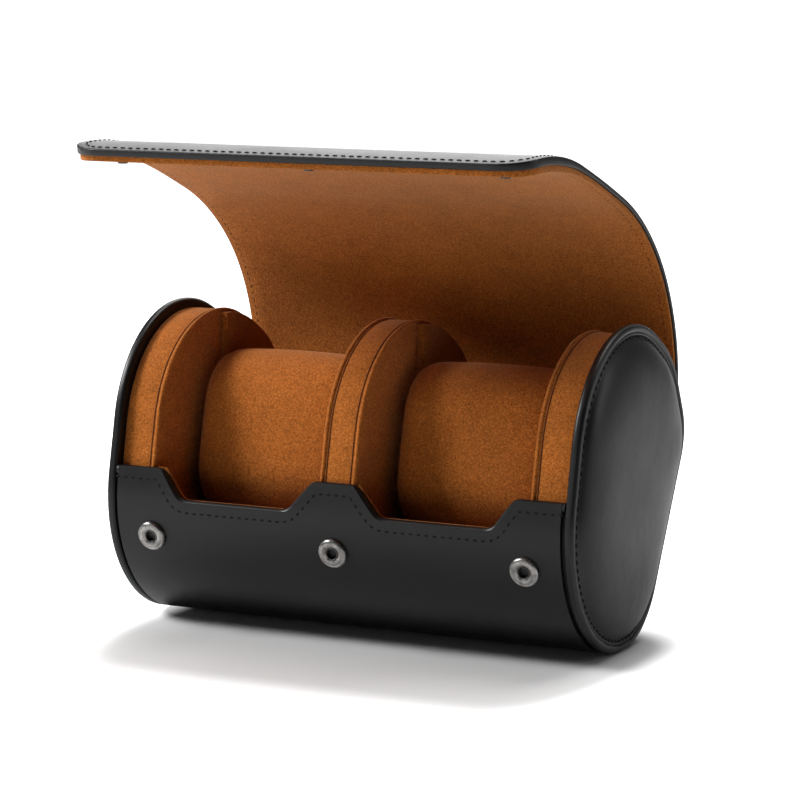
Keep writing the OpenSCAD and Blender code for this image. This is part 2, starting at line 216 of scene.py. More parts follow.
class CaseSizes(bpy.types.PropertyGroup):
    """Sizes a maker would change"""

    leather: FloatProperty(
        name="Leather", description="Thickness of the outer leather",
        default=0.0017, min=0.001, max=0.003, unit="LENGTH")
    lining: FloatProperty(
        name="Lining", description="Thickness of the suede lining",
        default=0.0012, min=0.0008, max=0.002, unit="LENGTH")
    stitch: FloatProperty(
        name="Stitch length", description="Length of one stitch",
        default=0.0021, min=0.0015, max=0.004, unit="LENGTH")
    pitch: FloatProperty(
        name="Stitch spacing", description="Distance from stitch to stitch",
        default=0.0028, min=0.002, max=0.005, unit="LENGTH")
    seam_in: FloatProperty(
        name="Seam inset", description="Distance of a seam from its edge",
        default=0.0030, min=0.002, max=0.005, unit="LENGTH")
    crown: FloatProperty(
        name="End crown", description="How far the padded ends swell",
        default=0.0060, min=0.003, max=0.008, unit="LENGTH")
    cushion: FloatProperty(
        name="Cushion width", description="Width of a watch cushion",
        default=0.0543, min=0.045, max=0.058, unit="LENGTH")


class CaseColours(bpy.types.PropertyGroup):
    """Colours a maker would change"""

    leather: FloatVectorProperty(
        name="Leather", description="Outer leather",
        subtype="COLOR", size=4, default=(0.0022, 0.0022, 0.0026, 1), min=0, max=1)
    suede: FloatVectorProperty(
        name="Suede", description="Suede lining and pads",
        subtype="COLOR", size=4, default=(0.43, 0.128, 0.020, 1), min=0, max=1)
    thread: FloatVectorProperty(
        name="Black thread", description="Thread on the leather",
        subtype="COLOR", size=4, default=(0.006, 0.006, 0.007, 1), min=0, max=1)
    brown: FloatVectorProperty(
        name="Brown thread", description="Thread on the suede",
        subtype="COLOR", size=4, default=(0.075, 0.022, 0.005, 1), min=0, max=1)
    metal: FloatVectorProperty(
        name="Snap metal", description="Dark plated snap rings and rivets",
        subtype="COLOR", size=4, default=(0.27, 0.262, 0.254, 1), min=0, max=1)
    stud: FloatVectorProperty(
        name="Stud metal", description="Darker metal of the studs and posts",
        subtype="COLOR", size=4, default=(0.11, 0.107, 0.104, 1), min=0, max=1)
    # darker than the snap rings, as painted shade in the snaps' bores
    spring: FloatVectorProperty(
        name="Spring wire", description="Wire inside the snap rings",
        subtype="COLOR", size=4, default=(0.10, 0.098, 0.095, 1), min=0, max=1)
    floor: FloatVectorProperty(
        name="Floor", description="Floor and backdrop",
        subtype="COLOR", size=4, default=(0.93, 0.93, 0.93, 1), min=0, max=1)


def sizes():
    return bpy.context.scene.case_sizes


def colours():
    return bpy.context.scene.case_colours


# --------------------------------------------------------------- the finishes


class Wire:
    """A socket whose + and * add Math nodes."""

    def __init__(self, finish, socket):
        self.finish = finish
        self.socket = socket

    def _math(self, operation, other):
        return self.finish.add("ShaderNodeMath", {"operation": operation}, {0: self, 1: other})

    def __add__(self, other):
        return self._math("ADD", other)

    __radd__ = __add__

    def __mul__(self, other):
        return self._math("MULTIPLY", other)

    __rmul__ = __mul__


class Finish:
    """A material under construction."""

    def __init__(self, name):
        self.material = bpy.data.materials.new(name)
        self.material.use_nodes = True
        self.tree = self.material.node_tree
        self.shader = self.tree.nodes["Principled BSDF"]

    def fill(self, socket, value):
        """Links a wire to a socket, or gives the socket a value."""
        if isinstance(value, Wire):
            self.tree.links.new(value.socket, socket)
        else:
            socket.default_value = value

    def add(self, kind, settings=None, inputs=None, output=0):
        """Adds a node, sets it up, fills its sockets and returns one output."""
        node = self.tree.nodes.new(kind)
        for key, value in (settings or {}).items():
            setattr(node, key, value)
        for key, value in (inputs or {}).items():
            self.fill(node.inputs[key], value)
        return Wire(self, node.outputs[output])

    def set(self, **values):
        """Fills the shader's sockets and returns the material."""
        for key, value in values.items():
            self.fill(self.shader.inputs[key.replace("_", " ")], value)
        return self.material

    def place(self, scale=(1, 1, 1), rotation=(0, 0, 0)):
        """Places on the piece, stretched and turned."""
        spot = self.add("ShaderNodeTexCoord", output=3)
        return self.add("ShaderNodeMapping", {}, {"Vector": spot, "Scale": scale, "Rotation": rotation})

    def noise(self, where, scale, detail=4.0, rough=0.55, distortion=0.0):
        """Cloudy noise."""
        return self.add("ShaderNodeTexNoise", {}, {
            "Vector": where, "Scale": scale, "Detail": detail, "Roughness": rough, "Distortion": distortion})

    def cells(self, where, scale, feature="F1"):
        """Small cells, by the distance to their middles or to their edges."""
        return self.add("ShaderNodeTexVoronoi", {"feature": feature}, {"Vector": where, "Scale": scale})

    def spread(self, value, low, high, a=0.0, b=1.0, course="LINEAR"):
        """Maps low to high onto a to b, and holds the ends."""
        settings = {"clamp": True, "interpolation_type": course}
        return self.add("ShaderNodeMapRange", settings, {"Value": value, 1: low, 2: high, 3: a, 4: b})

    def ease(self, value, low, high, a=0.0, b=1.0):
        """The same with a soft start and end."""
        return self.spread(value, low, high, a, b, "SMOOTHSTEP")

    def mix(self, factor, a, b):
        """A colour between a and b."""
        return self.add("ShaderNodeMix", {"data_type": "RGBA"}, {0: factor, 6: a, 7: b}, output=2)

    def bump(self, height, strength, distance, under=None):
        """A normal raised by height, over another one where that is given."""
        inputs = {"Height": height, "Strength": strength, "Distance": distance}
        if under is not None:
            inputs["Normal"] = under
        return self.add("ShaderNodeBump", {}, inputs)


def tone(colour, k):
    """A colour made lighter or darker by k."""
    return tuple(min(1, part * k) for part in colour[:3]) + (1,)


def leather_finish(name, crease=0.0):
    """Smooth coated leather: fine pores, faint mottling and a soft satin coat."""
    f = Finish(name)
    base = tuple(colours().leather)
    where = f.place()
    mottle = f.noise(where, 34, 5, 0.6)
    pores = f.cells(where, 1500)
    grain = f.cells(where, 620, "DISTANCE_TO_EDGE")
    waves = f.noise(where, 60, 3, 0.5)
    tint = f.mix(f.spread(mottle, 0.35, 0.7), tone(base, 0.72), tone(base, 1.5))
    rough = f.spread(mottle, 0.3, 0.7, 0.36, 0.46) + f.spread(pores, 0.0, 0.5, 0.05, 0.0)
    height = f.spread(grain, 0.0, 0.25) * 0.5 + f.spread(pores, 0.1, 0.45) * 0.35
    soft = f.bump(waves, 0.10 + crease, 0.0012)
    return f.set(
        Base_Color=tint, Roughness=rough, Normal=f.bump(height, 0.16, 0.00009, soft),
        Specular_IOR_Level=0.32, Coat_Weight=0.05, Coat_Roughness=0.25)


def suede_finish(name, shade=1.0, scale=1.0):
    """Napped microfibre: fine speckled pile, brushed patches and a soft sheen."""
    f = Finish(name)
    base = tuple(colours().suede)
    tips = (base[0] * 1.6, base[1] * 1.9, base[2] * 2.3)
    where = f.place()
    patches = f.noise(where, 46 * scale, 4, 0.62, 0.6)
    brushed = f.noise(f.place((0.45, 1.0, 1.0)), 190, 4, 0.65, 0.8)
    pile = f.noise(where, 1500, 3, 0.75)
    fleck = f.cells(where, 1100)
    body = f.mix(f.spread(patches, 0.32, 0.70), tone(base, 0.80 * shade), tone(base, 1.12 * shade))
    stroked = f.mix(f.spread(brushed, 0.35, 0.68, 0.0, 0.38), body, tone(base, 1.36 * shade))
    flecked = f.mix(f.spread(pile, 0.36, 0.66, 0.0, 0.85), stroked, tone(base, 0.34 * shade))
    lit = f.mix(f.spread(fleck, 0.0, 0.42, 0.46, 0.0), flecked, tone(tips, shade))
    height = pile * 0.7 + f.spread(fleck, 0.0, 0.5) * 0.5 + brushed * 0.8
    normal = f.bump(height, 0.55, 0.00022, f.bump(patches, 0.18, 0.0012))
    return f.set(
        Base_Color=lit, Roughness=f.spread(pile, 0.3, 0.7, 0.86, 0.98), Normal=normal,
        Specular_IOR_Level=0.08, Sheen_Weight=0.30, Sheen_Roughness=0.45,
        Sheen_Tint=(1.0, 0.72, 0.46, 1))


def thread_finish(name, colour):
    """Twisted sewing thread."""
    f = Finish(name)
    strands = f.add(
        "ShaderNodeTexWave", {"wave_type": "BANDS", "bands_direction": "DIAGONAL"},
        {"Vector": f.place(), "Scale": 900.0, "Distortion": 2.0})
    tint = f.mix(strands * 0.6, tone(colour, 0.7), tone(colour, 2.1))
    return f.set(
        Base_Color=tint, Roughness=0.8, Normal=f.bump(strands, 0.5, 0.0001), Specular_IOR_Level=0.15)


def metal_finish(name, colour, rough=0.3):
    """Dark plated metal, cloudy and finely scratched."""
    f = Finish(name)
    cloud = f.noise(f.place(), 420, 4, 0.6)
    scratch = f.noise(f.place((1, 1, 6), (0.3, 0.5, 0.2)), 900, 2, 0.5)
    tint = f.mix(f.spread(cloud, 0.35, 0.7), tone(colour, 0.7), tone(colour, 1.5))
    return f.set(
        Base_Color=tint, Metallic=1.0, Normal=f.bump(scratch, 0.2, 0.00003),
        Roughness=f.spread(scratch, 0.3, 0.7, rough - 0.07, rough + 0.12))


def board_finish(name):
    """Pressed grey-brown fibreboard."""
    f = Finish(name)
    fibres = f.noise(f.place((1, 4, 4)), 260, 5, 0.7)
    tint = f.mix(f.spread(fibres, 0.3, 0.7), (0.24, 0.18, 0.12, 1), (0.42, 0.34, 0.24, 1))
    return f.set(Base_Color=tint, Roughness=0.9, Normal=f.bump(f.noise(f.place(), 900, 3), 0.3, 0.0002))


def backdrop_finish(name):
    """Floor with a soft shadow painted into its colour near the case, pure white to the camera further out,
    and a glow behind the case for glossy rays only, as a painted reflection in the leather.
    """
    f = Finish(name)
    shade = tuple(colours().floor)
    camera_ray = f.add("ShaderNodeLightPath")
    gloss_ray = f.add("ShaderNodeLightPath", output=3)
    where = f.place()
    along = f.add("ShaderNodeSeparateXYZ", {}, {0: where}, output=0)
    behind = f.add("ShaderNodeSeparateXYZ", {}, {0: where}, output=1)
    # painted shadow: 1 under the case's front, 0 where the painted soft shadow ends
    painted_shadow_along = f.ease(along, -0.094, -0.050) * f.ease(along, 0.070, 0.112, 1.0, 0.0)
    painted_shadow = painted_shadow_along * f.ease(behind, -0.136, -0.026) * f.ease(behind, -0.005, 0.050, 1.0, 0.0)
    # the floor's colour darkened by the painted shadow
    base = f.mix(painted_shadow, shade, tone(shade, 0.58))
    seen = f.ease(painted_shadow, 0.0, 0.5, 1.0, 0.0)
    # painted reflection: the floor and wall behind the case glow for glossy rays only, brightening the
    # leather's reflections
    painted_reflection_glow = f.spread(behind, 0.5, 1.1, 0.0, 2.6)
    white_and_painted_reflection_glow = camera_ray * seen + gloss_ray * painted_reflection_glow * f.spread(along, -0.3, 0.1, 1.0, 0.0)
    return f.set(
        Base_Color=base, Roughness=0.9, Specular_IOR_Level=0.1,
        Emission_Color=white_and_painted_reflection_glow, Emission_Strength=1.0)


# Each finish of the pieces, by its key
FINISHES = {}


def make_finishes():
    c = colours()
    FINISHES.update(
        leather=leather_finish("Black leather"),
        padded=leather_finish("Padded black leather", 0.12),
        suede=suede_finish("Brown suede"),
        # a darker copy of the suede, as painted shade, for the lining, plates, saddles and cushion welts
        # inside the case
        suede_dark=suede_finish("Brown suede with painted shade", 0.70, 0.8),
        suede_pad=suede_finish("Brown suede pads", 1.04, 1.3),
        thread=thread_finish("Black thread", c.thread),
        brown=thread_finish("Brown thread", c.brown),
        metal=metal_finish("Gunmetal snaps", c.metal),
        stud=metal_finish("Dark studs", c.stud),
        spring=metal_finish("Snap spring", c.spring, 0.36),
        board=board_finish("Fibreboard"),
    )


# ------------------------------------------------------------ modelling aids


def deselect():
    if bpy.context.object and bpy.context.object.mode != "OBJECT":
        bpy.ops.object.mode_set(mode="OBJECT")
    bpy.ops.object.select_all(action="DESELECT")


def choose(obj):
    deselect()
    obj.select_set(True)
    bpy.context.view_layer.objects.active = obj


def select_by(kind):
    """Lets edit mode work on vertices, edges or faces."""
    modes = tuple(kind == each for each in ("VERT", "EDGE", "FACE"))
    bpy.context.tool_settings.mesh_select_mode = modes


def edit(obj):
    choose(obj)
    select_by("VERT")
    bpy.ops.object.mode_set(mode="EDIT")


def leave():
    bpy.ops.object.mode_set(mode="OBJECT")


def select_all():
    bpy.ops.mesh.select_all(action="SELECT")


def middle_of(item):
    """The middle of a vertex, an edge or a face."""
    if isinstance(item, bmesh.types.BMVert):
        return item.co
    if isinstance(item, bmesh.types.BMEdge):
        return (item.verts[0].co + item.verts[1].co) / 2
    return item.calc_center_median()


def pick(obj, kind, test):
    """Selects the vertices, edges or faces of which the test holds, given the middle and the item."""
    mesh = bmesh.from_edit_mesh(obj.data)
    select_by(kind)
    mesh.select_mode = {kind}
    groups = {"VERT": mesh.verts, "EDGE": mesh.edges, "FACE": mesh.faces}
    for group in groups.values():
        for item in group:
            item.select_set(False)
    for item in groups[kind]:
        if test(middle_of(item), item):
            item.select_set(True)
    mesh.select_flush_mode()
    bmesh.update_edit_mesh(obj.data)


def extrude(dx=0.0, dy=0.0, dz=0.0):
    bpy.ops.mesh.extrude_region_move(TRANSFORM_OT_translate={"value": (dx, dy, dz)})


def merge_doubles():
    select_all()
    bpy.ops.mesh.remove_doubles(threshold=0.00001)


def face_outwards():
    """Turns the faces of the mesh in edit mode outwards, and ends edit mode."""
    select_all()
    bpy.ops.mesh.normals_make_consistent(inside=False)
    leave()


def settle(obj):
    """Puts the object's place into its mesh, so that it sits at the origin."""
    choose(obj)
    bpy.ops.object.transform_apply(location=True, rotation=True, scale=True)
    return obj


def modify(obj, kind, **settings):
    """Adds one modifier and applies it."""
    choose(obj)
    bpy.ops.object.modifier_add(type=kind)
    modifier = obj.modifiers[-1]
    for key, value in settings.items():
        setattr(modifier, key, value)
    bpy.ops.object.modifier_apply(modifier=modifier.name)
    return obj


def soften(obj, width, segments, angle):
    """Rounds the edges at which the faces turn by more than angle."""
    return modify(
        obj, "BEVEL", width=width, segments=segments,
        limit_method="ANGLE", angle_limit=math.radians(angle))


def thicken(obj, thickness):
    """Gives an open sheet its wall, inwards."""
    return modify(obj, "SOLIDIFY", thickness=thickness, offset=-1.0)


def dress(obj, name, finish, body="case", angle=35):
    """Names a finished piece, smooths it and gives it its finish, slot and body."""
    obj.name = obj.data.name = name
    choose(obj)
    bpy.ops.object.shade_smooth_by_angle(angle=math.radians(angle))
    obj.data.materials.clear()
    obj.data.materials.append(FINISHES[finish])
    if body:
        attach(obj, body)
    return obj


def copy_of(obj, name):
    """A copy with its own mesh."""
    twin = obj.copy()
    twin.data = obj.data.copy()
    twin.name = name
    bpy.context.collection.objects.link(twin)
    return twin


def flipped(obj):
    """The same piece for the other end."""
    twin = copy_of(obj, "flipped")
    twin.scale = (-1, 1, 1)
    settle(twin)
    edit(twin)
    face_outwards()
    return twin


def joined(parts, name):
    """Joins pieces into the first of them."""
    deselect()
    for part in parts:
        part.select_set(True)
    bpy.context.view_layer.objects.active = parts[0]
    bpy.ops.object.join()
    parts[0].name = name
    return parts[0]


def one_vertex(x, y, z):
    """A plane merged to a single vertex, left selected in edit mode."""
    deselect()
    bpy.ops.mesh.primitive_plane_add(size=0.001, location=(0, 0, 0))
    obj = bpy.context.object
    edit(obj)
    select_all()
    bpy.ops.mesh.merge(type="CENTER")
    bpy.ops.transform.translate(value=(x, y, z))
    return obj


def one_edge(half, y, z, divisions):
    """An edge of a wall to be swept: along X at y and z, divided, left selected in edit mode."""
    deselect()
    bpy.ops.mesh.primitive_plane_add(size=1.0, location=(0, 0, 0))
    obj = bpy.context.object
    edit(obj)
    pick(obj, "VERT", lambda v, item: v.y > 0)
    bpy.ops.mesh.delete(type="VERT")
    select_all()
    bpy.ops.transform.resize(value=(2 * half, 1, 1))
    bpy.ops.transform.translate(value=(0, y + 0.5, z))
    select_by("EDGE")
    select_all()
    bpy.ops.mesh.subdivide(number_cuts=divisions - 1)
    return obj


def spin_about(circle, turn, x=0.0, step=3.0):
    """Spins the selection round a circle, by turn degrees from +Y towards +Z."""
    bpy.ops.mesh.spin(
        steps=max(1, math.ceil(abs(turn) / step)), angle=-math.radians(turn),
        center=(x, circle[0], circle[1]), axis=(1, 0, 0))


def run_on(start, end, steps=1):
    """Extrudes the selection by the way from start to end, in equal steps."""
    for _ in range(steps):
        extrude(0, (end[0] - start[0]) / steps, (end[1] - start[1]) / steps)


def belt_runs(inset):
    """The belt's arcs, each with the ends of the straight run after it: (circle, start, end, p, q)."""
    found = []
    for k, (circle, start, end) in enumerate(BELT):
        after = BELT[(k + 1) % len(BELT)]
        p, q = on_circle(circle, end, inset), on_circle(after[0], after[1], inset)
        found.append((circle, start, end, p, q))
    return found


def belt_face(x, inset, step=3.0):
    """The side outline as one face at x, traced by spinning a vertex round the belt."""
    obj = one_vertex(x, *on_circle(BELT[0][0], BELT[0][1], inset))
    for circle, start, end, p, q in belt_runs(inset):
        spin_about(circle, end - start, x, step)
        run_on(p, q)
    select_all()
    bpy.ops.mesh.remove_doubles(threshold=0.00002)
    bpy.ops.mesh.edge_face_add()
    select_by("FACE")
    return obj


def belt_slab(x0, x1, inset, step=3.0):
    """The side outline as a solid from x0 to x1, its face at x1 selected."""
    obj = belt_face(x0, inset, step)
    extrude(x1 - x0)
    return obj


def belt_points(x, inset, pitch):
    """Evenly spaced places along the belt: (point, along, out)."""
    pieces = []
    for circle, start, end, p, q in belt_runs(inset):
        pieces.append((circle, start, end, (circle[2] - inset) * math.radians(end - start)))
        pieces.append((None, p, q, math.hypot(q[0] - p[0], q[1] - p[1])))
    total = sum(piece[3] for piece in pieces)
    count = round(total / pitch)
    found = []
    for i in range(count):
        s = (i * total / count) % total
        for circle, start, end, length in pieces:
            if circle:
                normal = end
            if s <= length:
                break
            s -= length
        if circle:
            normal = start + (end - start) * s / length
            y, z = on_circle(circle, normal, inset)
        else:
            t = s / length
            y, z = start[0] + (end[0] - start[0]) * t, start[1] + (end[1] - start[1]) * t
        a = math.radians(normal)
        along, out = Vector((0, -math.sin(a), math.cos(a))), Vector((0, math.cos(a), math.sin(a)))
        found.append((Vector((x, y, z)), along, out))
    return found


def stitch_pattern(length, thick):
    """One stitch: a short bead with tucked-in ends, along X, up along Z."""
    deselect()
    bpy.ops.mesh.primitive_uv_sphere_add(
        segments=6, ring_count=6, radius=0.5, location=(0, 0, 0), rotation=(0, math.radians(90), 0))
    bead = bpy.context.object
    bead.scale = (thick * 0.8, thick, length)
    settle(bead)
    edit(bead)
    pick(bead, "VERT", lambda v, item: abs(v.x) > length * 0.4)
    bpy.ops.transform.translate(value=(0, 0, -thick * 0.3))
    leave()
    return bead


def sew(places, name, finish, thick, body="case", sink=0.0001):
    """Copies one stitch to each place: (point, along, out)."""
    bead = stitch_pattern(sizes().stitch, thick)
    parts = []
    for k, (point, along, out) in enumerate(places):
        along = along.normalized()
        side = out.cross(along).normalized()
        up = along.cross(side).normalized()
        twin = copy_of(bead, f"{name}_{k}")
        turn = Matrix((along, side, up)).transposed().to_4x4()
        twin.data.transform(Matrix.Translation(point - up * sink) @ turn)
        parts.append(twin)
    bpy.data.objects.remove(bead)
    return dress(joined(parts, name), name, finish, body, 60)


def cord_along(points, radius, name, finish, body="case", closed=False, sides=2):
    """A rounded roll or piping that follows points."""
    data = bpy.data.curves.new(name, "CURVE")
    data.dimensions = "3D"
    data.bevel_depth = radius
    data.bevel_resolution = sides
    data.use_fill_caps = not closed
    line = data.splines.new("POLY")
    line.points.add(len(points) - 1)
    for spot, p in zip(line.points, points):
        spot.co = (*p, 1)
    line.use_cyclic_u = closed
    obj = bpy.data.objects.new(name, data)
    bpy.context.collection.objects.link(obj)
    choose(obj)
    bpy.ops.object.convert(target="MESH")
    obj = bpy.context.object
    edit(obj)
    face_outwards()
    return dress(obj, name, finish, body, 60)


def points_of(places):
    """The points alone of a row of places."""
    return [place[0] for place in places]


# -------------------------------------------------------------- the operators


def lamp(name, place, target, size, power):
    """A soft rectangular lamp that looks at its target."""
    bpy.ops.object.light_add(type="AREA", location=place)
    light = bpy.context.object
    light.name = name
    light.data.shape = "RECTANGLE"
    light.data.size, light.data.size_y = size
    light.data.energy = power
    light.rotation_euler = (Vector(target) - Vector(place)).to_track_quat("-Z", "Y").to_euler()


class CASE_OT_stage(bpy.types.Operator):
    """Floor, backdrop, studio lamps and the camera of the photograph"""

    bl_idname = "travel_case.stage"
    bl_label = "Studio"

    def execute(self, context):
        context.scene.view_settings.view_transform = "Standard"
        self.floor(size=7.0, middle=0.9, wall=4.0, bend=1.6)
        world = bpy.data.worlds.new("Studio")
        context.scene.world = world
        world.use_nodes = True
        sky = world.node_tree.nodes["Background"]
        sky.inputs["Color"].default_value = (1, 1, 1, 1)
        sky.inputs["Strength"].default_value = 0.05
        lamp("Key", (-1.05, -0.50, 0.92), (0, 0, 0.08), (0.42, 0.42), 26.0)
        lamp("Right_strip", (1.05, 0.55, 0.50), (0.02, 0, 0.06), (0.30, 0.7), 1.9)
        lamp("Top", (0.0, 0.50, 1.35), (0, 0, 0.10), (1.1, 0.7), 16.0)
        lamp("Front_fill", (-0.45, -1.5, 0.4), (0, 0, 0.07), (0.8, 0.5), 1.2)
        self.camera(context)
        return {"FINISHED"}

    def floor(self, size, middle, wall, bend):
        """The floor, just under the case, with a bend up into the wall behind."""
        deselect()
        bpy.ops.mesh.primitive_plane_add(size=size, location=(0, middle, -0.0003))
        floor = bpy.context.object
        edit(floor)
        pick(floor, "EDGE", lambda m, e: m.y > size * 0.48)
        extrude(0, 0, wall)
        pick(floor, "EDGE", lambda m, e: m.y > size * 0.48 and abs(m.z) < 0.01)
        bpy.ops.mesh.bevel(offset=bend, segments=16)
        leave()
        settle(floor)
        floor.name = "Studio_floor"
        bpy.ops.object.shade_smooth()
        floor.data.materials.append(backdrop_finish("Studio white with painted shadow and reflection"))

    def camera(self, context):
        data = bpy.data.cameras.new("Camera")
        camera = bpy.data.objects.new("Camera", data)
        context.collection.objects.link(camera)
        camera.location = CAMERA_AT
        camera.rotation_euler = (CAMERA_TO - CAMERA_AT).to_track_quat("-Z", "Y").to_euler()
        data.sensor_width = SENSOR_MM
        data.lens = FOCAL_PX * SENSOR_MM / PHOTO_PX
        data.clip_start = 0.01
        context.scene.camera = camera


class CASE_OT_rims(bpy.types.Operator):
    """The leather-covered rim at each end, with its rolled edges"""

    bl_idname = "travel_case.rims"
    bl_label = "End rims"

    def execute(self, context):
        right = belt_slab(RIM_IN, HALF_LEN, 0.0, 2.5)
        bpy.ops.mesh.inset(thickness=RIM_W)
        extrude(RIM_IN + RIM_BACK - HALF_LEN)
        face_outwards()
        soften(right, RIM_ROLL, 5, 50)
        for rim, word in ((right, "right"), (flipped(right), "left")):
            dress(rim, f"Rim_{word}", "leather")
            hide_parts(f"{word}_rim")
        return {"FINISHED"}


class CASE_OT_end_leather(bpy.types.Operator):
    """The padded leather panel inside each end rim, its piping and seam"""

    bl_idname = "travel_case.end_leather"
    bl_label = "Padded ends"

    # The crown in rings: share of the outline, share of the height
    RINGS = (
        (0.99, 0.10), (0.975, 0.17), (0.955, 0.26), (0.925, 0.39), (0.88, 0.53),
        (0.80, 0.69), (0.68, 0.84), (0.52, 0.935), (0.34, 0.98), (0.16, 1.0),
    )
    SEAM_RING = RINGS[1][1]
    MIDDLE = (0.005, 0.053)

    def execute(self, context):
        s = sizes()
        x0 = RIM_IN + PANEL_OUT
        right = belt_face(x0, RIM_W + 0.0001, 4.0)
        size, rise = 1.0, 0.0
        for share, up in self.RINGS:
            extrude((up - rise) * s.crown)
            shrink = share / size
            bpy.ops.transform.resize(value=(1, shrink, shrink), center_override=(x0, *self.MIDDLE))
            size, rise = share, up
        bpy.ops.mesh.poke()
        face_outwards()
        edit(right)
        # the leather dips where the seam holds it down
        pick(right, "VERT", lambda v, item: abs(v.x - (x0 + self.SEAM_RING * s.crown)) < 0.0001)
        bpy.ops.transform.translate(value=(-0.0005, 0, 0))
        leave()
        modify(right, "SUBSURF", levels=1, render_levels=1)
        for side, pad, word in ((1, right, "right"), (-1, flipped(right), "left")):
            dress(pad, f"End_leather_{word}", "padded", angle=60)
            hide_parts(f"{word}_cap_leather", f"{word}_cap_foam")
            out = Vector((side, 0, 0))
            seam = [(p, along, out) for p, along, n in belt_points(side * (x0 + 0.0008), 0.0040, s.pitch)]
            sew(seam, f"End_seam_{word}", "thread", END_THREAD)
            piping = points_of(belt_points(side * (x0 + 0.0002), 0.0030, 0.0015))
            cord_along(piping, PIPING_R, f"End_piping_{word}", "leather", closed=True)
        return {"FINISHED"}


def suede_block(x0, x1, name, nodes, seams):
    """A suede-wrapped pad between x0 and x1, with a lip, a dark cord as painted shade in the groove, and
    stitches at each seam (x, side).
    """
    block = belt_slab(x0, x1, PAD_INSET)
    face_outwards()
    soften(block, 0.0010, 3, 60)
    dress(block, name, "suede_pad")
    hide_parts(*nodes)
    for k, (x, side) in enumerate(seams):
        lip = points_of(belt_points(x - side * 0.0003, PAD_INSET + 0.0002, CORD_STEP))
        cord_along(lip, PAD_LIP_R, f"{name}_welt_{k}", "suede_pad", closed=True)
        row = x - side * PAD_ROW
        # a dark brown cord along the stitch row, as painted shade in the seam's groove
        painted_shade_line = points_of(belt_points(row, PAD_INSET + 0.0001, CORD_STEP))
        cord_along(painted_shade_line, PAINTED_SHADE_LINE_R, f"{name}_groove_{k}", "brown", closed=True)
        stitches = belt_points(row, PAD_INSET - 0.00002, PAD_PITCH)
        sew(stitches, f"{name}_seam_{k}", "brown", PAD_THREAD, sink=0.0002)


class CASE_OT_pads(bpy.types.Operator):
    """The suede-wrapped end walls and the divider, with their seams"""

    bl_idname = "travel_case.pads"
    bl_label = "End walls and divider"

    def execute(self, context):
        seam_in = 0.0004
        for side, word in ((1, "right"), (-1, "left")):
            a, b = sorted((side * PAD_IN, side * RIM_IN))
            nodes = (f"{word}_end_pad", f"{word}_end_band", f"{word}_end_face")
            suede_block(a, b, f"End_wall_{word}", nodes, [(side * (PAD_IN + seam_in), -side)])
        nodes = ("divider_core", "divider_band", "divider_left_face", "divider_right_face")
        seams = [(side * (DIVIDER_X - seam_in), side) for side in (1, -1)]
        suede_block(-DIVIDER_X, DIVIDER_X, "Divider", nodes, seams)
        return {"FINISHED"}


class CASE_OT_guides(bpy.types.Operator):
    """The half-moon suede plates behind each cushion"""

    bl_idname = "travel_case.guides"
    bl_label = "Half-moon plates"

    def execute(self, context):
        for node in ("left_guide", "right_guide", "divider_left_guide", "divider_right_guide"):
            low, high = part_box(node)
            plate = belt_slab(low[0], high[0], PAD_INSET + 0.0008)
            select_all()
            bpy.ops.mesh.bisect(plane_co=(0, 0.005, 0), plane_no=(0, 1, 0), clear_inner=True, use_fill=True)
            face_outwards()
            soften(plate, 0.0008, 3, 60)
            dress(plate, "Plate_" + node, "suede_dark")
            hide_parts(node)
        return {"FINISHED"}


def front_spot(x, z, inset=0.0):
    """The point on the front panel's outer face at height z, moved in by inset, and its normal."""
    low = on_circle(BELLY, N_TOP_BELLY)
    if z > low[1]:
        high = on_circle(TOP, N_TOP_BELLY)
        t = (z - low[1]) / (high[1] - low[1])
        y, n = low[0] + (high[0] - low[0]) * t, N_TOP_BELLY
    else:
        rise = (z - BELLY[1]) / BELLY[2]
        n = 180 - math.degrees(math.asin(max(-1, min(1, rise))))
        y = on_circle(BELLY, n)[0]
    a = math.radians(n)
    out = Vector((0, math.cos(a), math.sin(a)))
    return Vector((x, y, z)) - out * inset, out


def front_line(end, trim=0.0022):
    """The front edge with its scoops, flat, as (x, z), its corners rounded."""
    left = [(-x, z) for x, z in reversed(SCOOP)]
    corners = [Vector(c) for c in ((-end, FRONT_H), *left, *SCOOP, (end, FRONT_H))]
    line = [corners[0]]
    for before, here, after in zip(corners, corners[1:], corners[2:]):
        p = here + (before - here).normalized() * trim
        q = here + (after - here).normalized() * trim
        for t in (0, 0.2, 0.4, 0.6, 0.8, 1.0):
            line.append(p.lerp(here, t).lerp(here.lerp(q, t), t))
    return line + [corners[-1]]


def lowered(line, drop):
    """A line in the panel, moved down by drop, square to itself."""
    moved = []
    for i, p in enumerate(line):
        d = (line[min(i + 1, len(line) - 1)] - line[max(i - 1, 0)]).normalized()
        moved.append(p + Vector((d.y, -d.x)) * drop)
    return moved


def front_path(drop, inset, pitch, end):
    """Places along the front edge with its scoops, drop below it: (point, along, out)."""
    line = lowered(front_line(end), drop)
    lengths = [0.0]
    for p, q in zip(line, line[1:]):
        lengths.append(lengths[-1] + (q - p).length)
    count = max(2, round(lengths[-1] / pitch))
    found = []
    k = 0
    for i in range(count + 1):
        s = lengths[-1] * i / count
        while k < len(line) - 2 and s > lengths[k + 1]:
            k += 1
        t = (s - lengths[k]) / max(1e-9, lengths[k + 1] - lengths[k])
        p = line[k].lerp(line[k + 1], min(1, t))
        d = (line[k + 1] - line[k]).normalized()
        here, out = front_spot(p.x, p.y, inset)
        ahead = front_spot(p.x + d.x * 0.001, p.y + d.y * 0.001, inset)[0]
        found.append((here, ahead - here, out))
    return found


